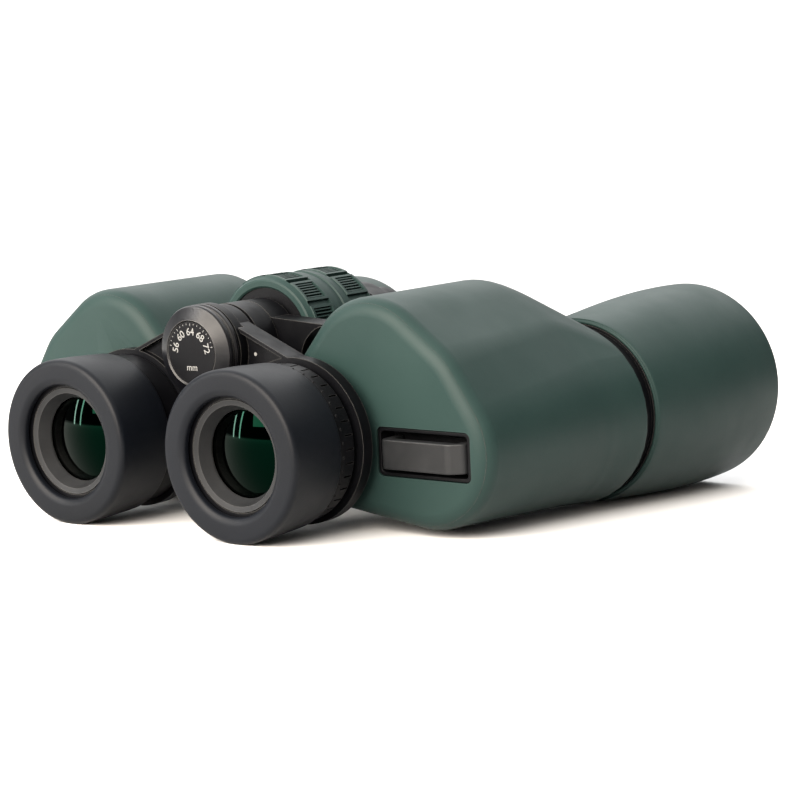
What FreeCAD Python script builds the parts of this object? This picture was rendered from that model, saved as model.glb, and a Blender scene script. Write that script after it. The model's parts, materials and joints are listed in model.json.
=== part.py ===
"""Porro-prism binoculars, 10 times 50, with a central focus wheel and twist-up eyecups.

Row frame: +X to the user's right, +Y forward along the optical axes, +Z up, millimetres.
The origin is the centre of the bottom of the whole object's box. Inside this file a place
along Y is a station: its distance forward from the faces of the eyecups. save() moves each
finished part so that the stations are centred on the origin.
The right half is modelled and mirrored for the left; what differs is made for each side.
"""

import FreeCAD, Part
import math
import os
from FreeCAD import Vector

# ---- driving dimensions -------------------------------------------------------------------
LENGTH = 177.4              # eyecup face to objective rim
BARREL_R = 30.7             # widest radius of the objective barrel's rubber sleeve
EYE_SPACING = 60.9          # between the eyepiece axes at rest
OBJECTIVE_SPACING = 131.2   # between the objective axes at rest

# ---- axes, as (x, z) ----------------------------------------------------------------------
OBJ = (OBJECTIVE_SPACING / 2, BARREL_R)     # right objective axis
EYE = (EYE_SPACING / 2, OBJ[1] + 2.0)       # right eyepiece axis
MID = (48.0, EYE[1] + 16.6)                 # light path between the two prisms
HINGE = (0.0, EYE[1] + 23.4)                # fold axis, focus wheel and bridge

# ---- shells -------------------------------------------------------------------------------
ARMOUR_T = 1.4              # rubber over the prism housing
SKIN_GAP = 0.05             # between pieces that are glued or screwed together
CASTING_T = 1.8             # wall of the cast prism housing
REAR_FACE = 36.0            # station of the housing's rear face
HUMP_END = 91.0             # station where the housing starts to taper to the objective tube
SHOULDER_ROUND = 9.0        # length over which that taper's start is rounded
NECK_R = 25.6               # radius of the housing's round front end
NECK_SHRINK = 0.04          # how much of the hump's shape is left in that end
NECK = 106.4                # station where the housing ends
EYE_WELL_R = 15.6           # opening in the rubber that the eyepiece tube passes through

# ---- hinge line, stations -----------------------------------------------------------------
KNUCKLE_R = 12.0
LEFT_REAR_KNUCKLE = (36.2, 43.6)
RIGHT_REAR_KNUCKLE = (43.9, 51.6)
BRACKET_REAR = 38.2         # the bracket arms enter the casting in front of this station
WHEEL = (52.2, 83.0)
WHEEL_R = 18.2
LEFT_FRONT_KNUCKLE = (83.6, 89.3)
RIGHT_FRONT_KNUCKLE = (89.6, 97.0)
HINGE_TUBE_R = 8.0
HINGE_PIN_R = 5.0
TUBE_END = 64.0             # front end of the hinge tube, inside the wheel's hub
SPINDLE_R = 5.0
SPINDLE = (22.7, 76.0)      # its front end stays in the wheel's nut over the whole focus travel
RUNNING = 0.06              # radial clearance of the hinge and spindle fits

# ---- bridge, stations ---------------------------------------------------------------------
COLLAR = (27.8, 31.6)
COLLAR_R = 22.6
ARM = (27.8, 34.4)
LEFT_ARM_KNUCKLE = (26.9, 29.8)
RIGHT_ARM_KNUCKLE = (30.1, 35.0)
LEFT_ARM_HUB_R = 12.9
RIGHT_ARM_HUB_R = 12.0
ARM_NARROW_R = 10.6         # half width of an arm at the hinge
ARM_WIDE_R = 19.8           # and at the eyepiece
POCKET = (1.0, 1.8)         # rim left round the pocket in an arm's rear face, and its depth
FOLD_ALLOWANCE = 7.0        # degrees each arm keeps clear of the middle plane, for folding

# ---- eyepiece, radii ----------------------------------------------------------------------
TUBE_OUTER = 13.2           # part that slides in the housing's guide boss
TUBE_SEAT = 16.9            # part held in the bridge collar
CELL_OUTER = 17.5           # lens cell that the eyecup slides on
CELL_SPIGOT = 15.4
CUP_INNER = 15.8            # mouth of the rubber eyecup
RING_R = 21.4               # dioptre ring

# ---- strap lug ----------------------------------------------------------------------------
LUG_CENTRE = (66.2, EYE[1] - 2.5)
LUG_WIDTH = 30.0
LUG_HEIGHT = 13.0
LUG_FLOOR = 43.4            # station of the lug's floor

# ---- threads ------------------------------------------------------------------------------
TRIPOD_R = 2.6              # tapping size of a quarter-inch tripod thread
TRIPOD_DEPTH = 9.0

Y_AXIS = Vector(0, 1, 0)


# ---- helpers ------------------------------------------------------------------------------
def cylinder(axis, radius, start, end):
    return Part.makeCylinder(radius, end - start, Vector(axis[0], start, axis[1]), Y_AXIS)


def tube(axis, inner, outer, start, end):
    return cylinder(axis, outer, start, end).cut(cylinder(axis, inner, start - 1, end + 1))


def box(centre, width, height, start, end):
    corner = Vector(centre[0] - width / 2, start, centre[1] - height / 2)
    return Part.makeBox(width, end - start, height, corner)


def turned(axis, profile):
    """A solid of revolution about an optical axis from (radius, station) points."""
    points = [Vector(axis[0] + r, s, axis[1]) for r, s in profile]
    face = Part.Face(Part.makePolygon(points + [points[0]]))
    return face.revolve(Vector(axis[0], 0, axis[1]), Y_AXIS, 360)


def turned_edges(axis, edges):
    face = Part.Face(Part.Wire(edges))
    return face.revolve(Vector(axis[0], 0, axis[1]), Y_AXIS, 360)


def ring_of(axis, radius, count, make, first=0.0):
    """count copies of make(), a solid drawn at the top of a circle, spread round the axis."""
    centre = Vector(axis[0], 0, axis[1])
    copies = []
    for i in range(count):
        copy = make(Vector(axis[0], 0, axis[1] + radius))
        copy.rotate(centre, Y_AXIS, first + 360.0 * i / count)
        copies.append(copy)
    return copies


def mirrored(shape):
    return shape.mirror(Vector(0, 0, 0), Vector(1, 0, 0))


def fillet_or_keep(solid, radius, wanted):
    """Rounds the edges that wanted(edge) picks; leaves the solid sharp if that can't be built."""
    edges = [e for e in solid.Edges if wanted(e)]
    try:
        rounded = solid.makeFillet(radius, edges)
        if rounded.isValid() and rounded.Volume > 0.5 * solid.Volume:
            return rounded
    except Exception as problem:
        print("fillet left out:", radius, problem)
    return solid


def hull_wire(circles, station):
    """The outline round circles (x, z, r) listed anticlockwise: arcs joined by tangent lines."""
    count = len(circles)
    normals = []
    for i in range(count):
        (x0, z0, r0), (x1, z1, r1) = circles[i], circles[(i + 1) % count]
        length = math.hypot(x1 - x0, z1 - z0)
        ux, uz = (x1 - x0) / length, (z1 - z0) / length
        along = (r0 - r1) / length
        across = math.sqrt(1 - along * along)
        normals.append((along * ux + across * uz, along * uz - across * ux))

    def on_circle(i, normal):
        x, z, r = circles[i]
        return Vector(x + r * normal[0], station, z + r * normal[1])

    edges = []
    for i in range(count):
        before, after = normals[i - 1], normals[i]
        middle = (before[0] + after[0], before[1] + after[1])
        size = math.hypot(*middle)
        middle = (middle[0] / size, middle[1] / size)
        start, end = on_circle(i, before), on_circle(i, after)
        edges.append(Part.Arc(start, on_circle(i, middle), end).toShape())
        edges.append(Part.LineSegment(end, on_circle((i + 1) % count, after)).toShape())
    return Part.Wire(edges)


def prism_of(circles, start, end):
    face = Part.Face(hull_wire(circles, start))
    return face.extrude(Vector(0, end - start, 0))


def grown(circles, amount):
    return [(x, z, r + amount) for x, z, r in circles]


# ---- prism housing ------------------------------------------------------------------------
def housing_section(station):
    """Circles whose hull is the housing's outline: the hump, then shrinking to the round neck."""
    along = min(1.0, (station - REAR_FACE) / (HUMP_END - REAR_FACE))
    bulge = ((OBJ[0] + MID[0]) / 2 + 0.7, (OBJ[1] + MID[1]) / 2 + 0.7)
    hump = [
        (*EYE, 18.5), (*OBJ, 21.1 + 3.5 * along), (*bulge, 22.4 + along), (*MID, 21.4),
    ]
    start, straight = HUMP_END - SHOULDER_ROUND / 2, HUMP_END + SHOULDER_ROUND / 2
    if station <= start:
        return hump
    if station < straight:
        fallen = (station - start) ** 2 / (2 * SHOULDER_ROUND)
    else:
        fallen = station - HUMP_END
    share = fallen / (NECK - HUMP_END)
    middle = (sum(c[0] for c in hump) / 4, sum(c[1] for c in hump) / 4)
    outline = []
    for x, z, r in hump:
        neck_x = OBJ[0] + NECK_SHRINK * (x - middle[0])
        neck_z = OBJ[1] + NECK_SHRINK * (z - middle[1])
        neck_r = NECK_R + NECK_SHRINK * (r - 22.0)
        outline.append((x + share * (neck_x - x), z + share * (neck_z - z), r + share * (neck_r - r)))
    return outline


def housing_envelope(inset):
    """The housing's outside, drawn in by inset all over."""
    bend = HUMP_END - SHOULDER_ROUND / 2
    steps = [bend + SHOULDER_ROUND * k / 4 for k in range(5)]
    steps += [(steps[-1] + NECK) / 2, NECK]
    stations = [REAR_FACE + inset, bend] + steps[1:]
    wires = [hull_wire(grown(housing_section(s), -inset), s) for s in stations]
    straight = Part.makeLoft(wires[:2], True, True)
    return straight.fuse(Part.makeLoft(wires[1:], True, False))


def at_station(station):
    return lambda edge: all(abs(p.y - station) < 0.02 for p in edge.discretize(5))


def rounded_envelope():
    """The outside of the rubber: the envelope with its rear rim and the hump's end rounded."""
    return fillet_or_keep(housing_envelope(0), 5.0, at_station(REAR_FACE))


def lug_space(clearance, floor):
    size = (LUG_WIDTH + 2 * clearance, LUG_HEIGHT + 2 * clearance)
    space = box(LUG_CENTRE, *size, REAR_FACE - 8, floor)
    return fillet_or_keep(space, 1.6 + clearance, lambda e: abs(e.tangentAt(0).y) > 0.99)


def right_housing():
    """Casting: a shell with a boss that guides the eyepiece, a lug pocket and a round front."""
    skin = ARMOUR_T + SKIN_GAP
    shell = housing_envelope(skin)
    inside = housing_envelope(skin + CASTING_T)
    shell = shell.cut(inside.common(box(OBJ, 200, 200, REAR_FACE, HUMP_END - 2)))
    shell = shell.cut(cylinder(OBJ, 22.6, HUMP_END - 6, NECK + 1))
    bore = TUBE_OUTER + 0.12
    shell = shell.fuse(cylinder(EYE, 14.6, REAR_FACE + skin + 0.5, 52.0))
    shell = shell.cut(cylinder(EYE, bore, REAR_FACE - 1, 53.0))
    return shell.cut(lug_space(0.1, LUG_FLOOR + 0.1))


def right_armour(bracket):
    """Rubber over the casting, open round the eyepiece, the strap lug and the hinge arms."""
    skin = rounded_envelope().cut(housing_envelope(ARMOUR_T))
    skin = skin.cut(cylinder(EYE, EYE_WELL_R, REAR_FACE - 1, REAR_FACE + ARMOUR_T + 0.01))
    skin = skin.cut(lug_space(0.15, LUG_FLOOR + 4))
    skin = skin.cut(cylinder(OBJ, 24.4, NECK - 1.5, NECK + 1))
    return skin.cut(bracket)


def strap_lug():
    """A pocket liner with a proud bar across it, which the strap passes behind."""
    wall = 1.0
    liner = box(LUG_CENTRE, LUG_WIDTH, LUG_HEIGHT, REAR_FACE + 0.3, LUG_FLOOR)
    liner = fillet_or_keep(liner, 1.6, lambda e: abs(e.tangentAt(0).y) > 0.99)
    inside = (LUG_WIDTH - 2 * wall, LUG_HEIGHT - 2 * wall)
    liner = liner.cut(box(LUG_CENTRE, *inside, REAR_FACE - 1, LUG_FLOOR - wall))
    bar_centre = (LUG_CENTRE[0] + 0.5, LUG_CENTRE[1] - 0.3)
    proud = REAR_FACE - 2.4
    bar = box(bar_centre, 26.0, 8.0, proud, LUG_FLOOR - wall)
    outer = lambda e: abs(e.tangentAt(0).z) > 0.99 and e.CenterOfMass.y < REAR_FACE
    bar = fillet_or_keep(bar, 2.6, outer)
    under = box(bar_centre, 21.0, 9.0, REAR_FACE + 0.6, LUG_FLOOR - wall)
    return liner.fuse(bar.cut(under))


# ---- optics -------------------------------------------------------------------------------
SHELF = (63.0, 65.0)
PRISM_HALF_WIDTH = 9.5
PRISM_REACH = 17.4          # how far a prism stands off the shelf, its apex ground flat


def porro_prism(first, second, side):
    """Right-angle prism from axis first to axis second, on side +1 or -1 of the shelf."""
    ux, uz = second[0] - first[0], second[1] - first[1]
    span = math.hypot(ux, uz)
    ux, uz = ux / span, uz / span
    centre = ((first[0] + second[0]) / 2, (first[1] + second[1]) / 2)
    base = SHELF[1] + SKIN_GAP if side > 0 else SHELF[0] - SKIN_GAP
    half = span - 2.6
    height = half
    flat = height - PRISM_REACH
    outline = [(-half, 0), (half, 0), (flat, PRISM_REACH), (-flat, PRISM_REACH)]

    def place(u, depth, w):
        x = centre[0] + u * ux + w * uz
        z = centre[1] + u * uz - w * ux
        return Vector(x, base + side * depth, z)

    points = [place(u, d, -PRISM_HALF_WIDTH) for u, d in outline]
    across = place(0, 0, PRISM_HALF_WIDTH) - place(0, 0, -PRISM_HALF_WIDTH)
    return Part.Face(Part.makePolygon(points + [points[0]])).extrude(across)


def prism_clip(first, second, side):
    """Spring strap lying over a prism's flat apex."""
    ux, uz = second[0] - first[0], second[1] - first[1]
    span = math.hypot(ux, uz)
    centre = Vector((first[0] + second[0]) / 2, 0, (first[1] + second[1]) / 2)
    base = SHELF[1] if side > 0 else SHELF[0]
    near = base + side * (PRISM_REACH + 2 * SKIN_GAP)
    start = min(near, near + side * 0.5)
    strap = Part.makeBox(5.0, 0.5, 25.0, Vector(centre.x - 2.5, start, centre.z - 12.5))
    strap.rotate(centre, Y_AXIS, math.degrees(math.atan2(ux / span, uz / span)) + 90)
    return strap


def prism_shelf():
    outline = grown(housing_section(SHELF[0]), -ARMOUR_T - CASTING_T - 0.3)
    plate = prism_of(outline, *SHELF)
    for axis, radius in ((OBJ, 10.0), (MID, 9.4), (EYE, 9.4)):
        plate = plate.cut(cylinder(axis, radius, SHELF[0] - 1, SHELF[1] + 1))
    return plate


def lens(axis, radius, start, end, rear_sag, front_sag):
    """A round lens whose faces bow by the stated sags; a negative sag is hollow."""
    x, z = axis

    def at(r, s):
        return Vector(x + r, s, z)

    def face_edge(edge_station, apex_station):
        if abs(edge_station - apex_station) < 1e-6:
            return Part.LineSegment(at(0, apex_station), at(radius, edge_station)).toShape()
        sag = abs(edge_station - apex_station)
        big = (radius * radius + sag * sag) / (2 * sag)
        toward = 1 if edge_station > apex_station else -1
        half = math.asin(radius / big) / 2
        middle = at(big * math.sin(half), apex_station + toward * big * (1 - math.cos(half)))
        return Part.Arc(at(0, apex_station), middle, at(radius, edge_station)).toShape()

    rear_edge, front_edge = start, end
    rear_apex, front_apex = start - rear_sag, end + front_sag
    edges = [
        face_edge(rear_edge, rear_apex),
        Part.LineSegment(at(radius, rear_edge), at(radius, front_edge)).toShape(),
        face_edge(front_edge, front_apex),
        Part.LineSegment(at(0, front_apex), at(0, rear_apex)).toShape(),
    ]
    return turned_edges(axis, Part.__sortEdges__(edges))


# ---- objective ----------------------------------------------------------------------------
SLEEVE = [                  # outside of the barrel's rubber sleeve, (radius, station)
    (26.3, 111.6), (26.9, 112.4), (28.3, 126.6), (29.7, 141.6), (30.5, 155.0), (BARREL_R, 165.0),
    (BARREL_R - 0.05, 172.0), (BARREL_R - 0.25, 175.6), (BARREL_R - 1.1, LENGTH),
]
SLEEVE_T = 1.6
TUBE_T = 1.4
LENS_R = 26.0
SEAT = 153.6                # station where the objective lenses start
SHOULDER = 163.5            # station of the step for the retaining ring


def spline_edge(axis, profile):
    curve = Part.BSplineCurve()
    curve.interpolate([Vector(axis[0] + r, s, axis[1]) for r, s in profile])
    return curve.toShape()


def inset_profile(amount):
    return [(r - amount, s) for r, s in SLEEVE[1:7]]


def barrel_sleeve():
    inner = inset_profile(SLEEVE_T)
    side, rim = spline_edge(OBJ, SLEEVE[1:7]), spline_edge(OBJ, SLEEVE[6:])
    lip = [
        (SLEEVE[-1][0], LENGTH), (27.9, LENGTH), (27.5, LENGTH - 0.5), (27.5, 174.0),
        (inner[-1][0], 174.0), inner[-1],
    ]
    tail = [inner[0], (inner[0][0], 111.6), *SLEEVE[:2]]
    edges = [side, rim, spline_edge(OBJ, inner)]
    for chain in (lip, tail):
        points = [Vector(OBJ[0] + r, s, OBJ[1]) for r, s in chain]
        edges += [Part.LineSegment(a, b).toShape() for a, b in zip(points, points[1:])]
    return turned_edges(OBJ, Part.__sortEdges__(edges))


def objective_tube():
    skin = inset_profile(SLEEVE_T + SKIN_GAP)
    top = skin[-1]
    outer_edge = spline_edge(OBJ, skin)
    end = 173.9
    bore = LENS_R + SKIN_GAP
    chain = [top, (top[0], end), (27.5, end), (27.5, SHOULDER), (bore, SHOULDER), (bore, SEAT - 0.1)]
    chain += [(25.0, SEAT - 0.1), (25.0, SEAT - 3.0), (24.0, 130.0)]
    chain += [(21.0, 112.0), (21.0, 97.0), (22.5, 97.0), (22.5, skin[0][1] - 0.8)]
    chain += [(skin[0][0], skin[0][1] - 0.8), skin[0]]
    points = [Vector(OBJ[0] + r, s, OBJ[1]) for r, s in chain]
    edges = [Part.LineSegment(a, b).toShape() for a, b in zip(points, points[1:])]
    return turned_edges(OBJ, Part.__sortEdges__(edges + [outer_edge]))


def objective_parts():
    crown = SEAT + 5.1
    seal = Vector(OBJ[0], crown + 3.95, OBJ[1])
    return {
        "objective_flint_lens": lens(OBJ, LENS_R, SEAT, SEAT + 5.0, 0.0, -2.6),
        "objective_crown_lens": lens(OBJ, LENS_R, crown, crown + 3.2, 2.6, 2.2),
        "objective_seal": Part.makeTorus(25.35, 0.6, seal, Y_AXIS),
        "objective_retaining_ring": tube(OBJ, 25.2, 27.5 - SKIN_GAP, SHOULDER + 0.05, SHOULDER + 2.4),
        "barrel_lock_ring": tube(OBJ, 22.6, 24.5, NECK + SKIN_GAP, 111.5),
    }


# ---- eyepieces ----------------------------------------------------------------------------
def eyepiece_parts():
    """Pieces of the right eyepiece that both sides share."""
    tube_body = turned(EYE, [
        (15.7, 24.0), (TUBE_SEAT, 24.0), (TUBE_SEAT, COLLAR[1]), (TUBE_OUTER, COLLAR[1]),
        (TUBE_OUTER, 56.0), (11.6, 56.0), (11.6, COLLAR[1] - 1.8), (15.7, COLLAR[1] - 1.8),
    ])
    cell = turned(EYE, [
        (15.0, 3.2), (CELL_OUTER, 3.2), (CELL_OUTER, 22.2), (CELL_SPIGOT, 22.2), (CELL_SPIGOT, 28.0),
        (12.8, 28.0), (12.8, 27.0), (14.2, 27.0), (14.2, 14.5), (12.8, 14.5), (12.8, 11.7),
        (14.2, 11.7), (14.2, 7.1), (15.0, 7.1),
    ])
    ring = turned(EYE, [
        (11.7, 6.6), (13.3, 3.4), (14.7, 3.05), (14.95, 3.4), (14.95, 7.05), (11.7, 7.05),
    ])
    cup = turned(EYE, [
        (CUP_INNER, 1.4), (16.3, 0.5), (17.4, 0.0), (19.6, 0.0), (21.0, 0.35), (22.1, 1.2),
        (22.75, 2.6), (22.9, 4.2), (22.7, 12.0), (22.2, 18.9), (21.8, 19.3), (19.3, 19.3),
        (19.3, 2.4), (CUP_INNER, 2.4),
    ])
    sleeve = tube(EYE, CELL_OUTER + 0.08, 19.25, 2.45, 18.6)
    detent = tube(EYE, CELL_OUTER + 0.06, CELL_OUTER + 1.0, 19.0, 20.05)
    flange = lens(EYE, 14.1, 7.15, 11.6, 0.0, 0.0)
    bow = lens(EYE, 11.6, 7.1, 7.6, 1.9, 0.0)
    return {
        "eyepiece_tube": tube_body,
        "lens_cell": cell,
        "eye_lens_ring": ring,
        "eye_lens": flange.fuse(bow),
        "field_lens": lens(EYE, 14.1, 21.8, 26.9, 1.4, 0.0),
        "eyecup": cup,
        "eyecup_sleeve": sleeve,
        "eyecup_detent_ring": detent,
    }


def dioptre_ring():
    """Grip ring: a slot and a small pip at each of 36 places."""
    ring = turned(EYE, [
        (CELL_OUTER + 1.3, 20.4), (CELL_OUTER + 1.3, 19.7), (RING_R - 0.4, 19.7), (RING_R, 20.1),
        (RING_R, 25.4), (RING_R - 0.5, 25.9), (CELL_OUTER + 0.1, 25.9), (CELL_OUTER + 0.1, 20.4),
    ])

    def slot(top):
        return Part.makeBox(0.55, 3.9, 1.6, Vector(top.x - 0.275, 22.4, top.z - 0.5))

    def pip(top):
        return Part.makeSphere(0.42, Vector(top.x, 21.2, top.z))

    ring = ring.cut(Part.makeCompound(ring_of(EYE, RING_R, 36, slot)))
    return ring.fuse(Part.makeCompound(ring_of(EYE, RING_R - 0.08, 36, pip, 5.0)))


def plain_ring():
    return turned(EYE, [
        (TUBE_SEAT + 0.1, 22.4), (CELL_OUTER + 1.3, 22.4), (CELL_OUTER + 1.3, 19.7),
        (RING_R - 0.9, 19.7), (RING_R - 0.6, 20.1), (RING_R - 0.3, 27.0), (RING_R - 0.6, 27.7),
        (TUBE_SEAT + 0.1, 27.7),
    ])


# ---- bridge -------------------------------------------------------------------------------
def bridge_arm(knuckle, hub_r, bore):
    """Arm from the central spindle to an eyepiece collar, with a triangular pocket behind."""
    lean = math.tan(math.radians(FOLD_ALLOWANCE))
    far = [(0, HINGE[1]), (-60, HINGE[1]), (-60, -10), (lean * (HINGE[1] + 10), -10)]
    points = [Vector(x, COLLAR[0] - 2, z) for x, z in far]
    far_side = Part.Face(Part.makePolygon(points + [points[0]])).extrude(Vector(0, 12, 0))
    rim, depth = POCKET
    outline = [(*HINGE, ARM_NARROW_R), (*EYE, ARM_WIDE_R)]
    web = prism_of(outline, *ARM).cut(prism_of(grown(outline, -rim), ARM[0] - 1, ARM[0] + depth))
    web = web.cut(cylinder(HINGE, LEFT_ARM_HUB_R + 0.3, ARM[0] - 2, ARM[1] + 2))
    root = prism_of(outline, max(knuckle[0], ARM[0]), min(knuckle[1], ARM[1]))
    root = root.common(cylinder(HINGE, LEFT_ARM_HUB_R + 4.0, *knuckle))
    web = web.fuse(root).cut(far_side)
    web = web.fuse(cylinder(EYE, COLLAR_R, *COLLAR))
    web = web.cut(cylinder(EYE, TUBE_SEAT + SKIN_GAP, ARM[0] - 2, ARM[1] + 2))
    arm = web.fuse(cylinder(HINGE, hub_r, *knuckle))
    return arm.cut(cylinder(HINGE, bore, knuckle[0] - 3, knuckle[1] + 8)).removeSplitter()


def focus_spindle():
    start, end = SPINDLE
    tip = SPINDLE_R - 1
    return turned(HINGE, [(0, start), (SPINDLE_R, start), (SPINDLE_R, end - 1), (tip, end), (0, end)])


def hub_cap():
    """Turned cap on the spindle's rear end: a seat for the scale plate, a cone and two beads."""
    return turned(HINGE, [
        (0, 21.7), (8.6, 21.7), (8.6, 21.1), (9.0, 20.8), (12.5, 22.6), (12.8, 23.1), (12.8, 23.9),
        (12.2, 24.2), (12.2, 24.8), (12.6, 25.0), (12.9, 25.4), (12.9, 26.2), (12.5, 26.6),
        (SPINDLE_R, 26.6), (SPINDLE_R, SPINDLE[0] - SKIN_GAP), (0, SPINDLE[0] - SKIN_GAP),
    ])


def scale_plate():
    return cylinder(HINGE, 8.5, 21.1, 21.65)


# ---- hinge and focus wheel ----------------------------------------------------------------
def bracket_blank(rear, front, crest):
    """Two cast arms from the fold axis into the housing, before the housing is taken out."""
    foot = (30.0, EYE[1] + 10.0, 12.5)
    arms = []
    for (start, end), outline in ((rear, crest), (front, [(*HINGE, KNUCKLE_R), foot])):
        plate = prism_of(outline, max(start, BRACKET_REAR), end)
        arms.append(cylinder(HINGE, KNUCKLE_R, start, end).fuse(plate))
    return arms


def hinge_bracket(arms, keep_out, rear_bore, front_bore, spans):
    """The two arms, cut back to the casting that they are bolted to."""
    solids = []
    for arm, span, bore in zip(arms, spans, (rear_bore, front_bore)):
        arm = arm.cut(keep_out)
        arm = arm.cut(cylinder(HINGE, bore, span[0] - 1, span[1] + 1))
        near = [s for s in arm.Solids if s.BoundBox.XMin < 5]
        solids += near
    return Part.makeCompound(solids)


def focus_wheel_core():
    """Wheel body: its hub turns on the hinge tube and holds the nut for the spindle."""
    start, end = WHEEL
    bearing, nut = HINGE_TUBE_R + RUNNING, SPINDLE_R + 0.3
    return turned(HINGE, [
        (bearing, start + 0.8), (14.7, start + 0.8), (14.7, end - 0.8), (13.2, end - 0.8),
        (13.2, start + 4), (10.6, start + 4), (10.6, end - 2), (nut, end - 2),
        (nut, TUBE_END + 0.4), (bearing, TUBE_END + 0.4),
    ])


def focus_wheel_grip():
    """Rubber tyre with two rows of twelve sunk grip windows."""
    start, end = WHEEL
    middle = (start + end) / 2
    tyre = turned(HINGE, [
        (14.75, start + 0.4), (15.2, start), (16.6, start), (17.1, start + 0.6), (WHEEL_R, start + 1.6),
        (WHEEL_R, middle - 1.1), (WHEEL_R - 0.7, middle - 0.9), (WHEEL_R - 0.7, middle + 0.9),
        (WHEEL_R, middle + 1.1), (WHEEL_R, end - 1.6), (17.1, end - 0.6), (16.6, end), (15.2, end),
        (14.75, end - 0.4),
    ])
    cutters = []
    for row in (start + 2.6, end - 10.4):
        def window(point, row=row):
            return Part.makeBox(6.2, 7.8, 3.0, Vector(point.x - 3.1, row, point.z - 1.0))
        cutters += ring_of(HINGE, WHEEL_R, 12, window, 10.0)
    return tyre.cut(Part.makeCompound(cutters))


def tripod_bush():
    """Threaded insert at the front end of the hinge."""
    start = RIGHT_FRONT_KNUCKLE[1] + SKIN_GAP
    end = start + 10.2
    bush = turned(HINGE, [(0, start), (9.6, start), (9.6, end - 0.8), (8.8, end), (0, end)])
    return bush.cut(cylinder(HINGE, TRIPOD_R, end - TRIPOD_DEPTH, end + 2))


# ---- saving -------------------------------------------------------------------------------
def save(name, shape):
    moved = shape.copy()
    moved.translate(Vector(0, -LENGTH / 2, 0))
    if not moved.isValid():
        print("not valid:", name)
    solids = moved.Solids
    if not solids or min(s.Volume for s in solids) <= 0:
        print("no volume:", name)
    if len(solids) == 1:
        moved = solids[0]
    moved.exportStep("parts/" + name + ".step")


def save_pair(name, shape):
    save("right_" + name, shape)
    save("left_" + name, mirrored(shape))


def make_housings():
    casting_space = housing_envelope(ARMOUR_T)
    save_pair("prism_housing", right_housing())
    flat_top = [(8.0, 55.4, 8.3), (30.0, 51.5, 10.5)]
    sloping = [(*HINGE, KNUCKLE_R), (30.0, EYE[1] + 10.0, 12.5)]
    loose = (HINGE_TUBE_R + RUNNING, HINGE_PIN_R + RUNNING)
    sides = {
        "right": (RIGHT_REAR_KNUCKLE, RIGHT_FRONT_KNUCKLE, flat_top, HINGE_TUBE_R, HINGE_PIN_R),
        "left": (LEFT_REAR_KNUCKLE, LEFT_FRONT_KNUCKLE, sloping, *loose),
    }
    for side, (rear, front, crest, rear_bore, front_bore) in sides.items():
        arms = bracket_blank(rear, front, crest)
        bracket = hinge_bracket(arms, casting_space, rear_bore, front_bore, (rear, front))
        armour = right_armour(Part.makeCompound(arms))
        armour = max(armour.Solids, key=lambda s: s.Volume)
        flip = mirrored if side == "left" else (lambda shape: shape)
        save(side + "_hinge_bracket", flip(bracket))
        save(side + "_housing_armour", flip(armour))


def make_optics():
    save_pair("prism_shelf", prism_shelf())
    save_pair("rear_prism", porro_prism(OBJ, MID, -1))
    save_pair("front_prism", porro_prism(EYE, MID, 1))
    clips = [prism_clip(OBJ, MID, -1), prism_clip(EYE, MID, 1)]
    save_pair("prism_clips", Part.makeCompound(clips))
    save_pair("objective_tube", objective_tube())
    save_pair("barrel_sleeve", barrel_sleeve())
    for name, shape in objective_parts().items():
        save_pair(name, shape)
    save_pair("strap_lug", strap_lug())


def make_eyepieces():
    for name, shape in eyepiece_parts().items():
        save_pair(name, shape)
    save("dioptre_ring", dioptre_ring())
    save("left_eyepiece_ring", mirrored(plain_ring()))


def make_centre():
    save("right_bridge_arm", bridge_arm(RIGHT_ARM_KNUCKLE, RIGHT_ARM_HUB_R, SPINDLE_R))
    left = bridge_arm(LEFT_ARM_KNUCKLE, LEFT_ARM_HUB_R, SPINDLE_R + RUNNING)
    save("left_bridge_arm", mirrored(left))
    save("focus_spindle", focus_spindle())
    save("hub_cap", hub_cap())
    save("scale_plate", scale_plate())
    save("focus_wheel_core", focus_wheel_core())
    save("focus_wheel_grip", focus_wheel_grip())
    hinge_tube = tube(HINGE, SPINDLE_R + 0.3, HINGE_TUBE_R, LEFT_REAR_KNUCKLE[0], TUBE_END)
    save("rear_hinge_tube", hinge_tube)
    save("front_hinge_pin", cylinder(HINGE, HINGE_PIN_R, WHEEL[1] + 0.3, RIGHT_FRONT_KNUCKLE[1]))
    save("tripod_bush", tripod_bush())


def main():
    os.makedirs("parts", exist_ok=True)
    make_housings()
    make_optics()
    make_eyepieces()
    make_centre()


main()
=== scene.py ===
import json
import math

import bmesh
import bpy
from mathutils import Matrix, Vector


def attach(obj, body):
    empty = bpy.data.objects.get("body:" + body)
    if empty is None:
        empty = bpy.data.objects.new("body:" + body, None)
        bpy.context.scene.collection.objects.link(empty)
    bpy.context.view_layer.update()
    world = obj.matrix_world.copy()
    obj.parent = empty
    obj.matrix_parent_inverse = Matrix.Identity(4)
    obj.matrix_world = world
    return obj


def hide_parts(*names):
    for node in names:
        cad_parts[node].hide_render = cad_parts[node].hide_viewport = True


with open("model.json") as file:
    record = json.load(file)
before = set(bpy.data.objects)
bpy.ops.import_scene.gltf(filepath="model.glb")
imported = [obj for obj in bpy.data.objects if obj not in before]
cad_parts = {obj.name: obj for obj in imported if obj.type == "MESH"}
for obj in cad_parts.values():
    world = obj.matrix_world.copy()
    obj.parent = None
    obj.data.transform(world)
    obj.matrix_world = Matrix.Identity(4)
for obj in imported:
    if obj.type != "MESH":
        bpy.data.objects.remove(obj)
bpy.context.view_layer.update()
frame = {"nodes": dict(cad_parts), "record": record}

# ---- main sizes, in millimetres: a station is the distance forward from the eyecup faces ----
LENGTH = 177.4
OBJ = (65.6, 30.7)          # (x, z) of the right objective's axis
EYE = (30.45, 32.7)         # of the right eyepiece's axis
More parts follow.
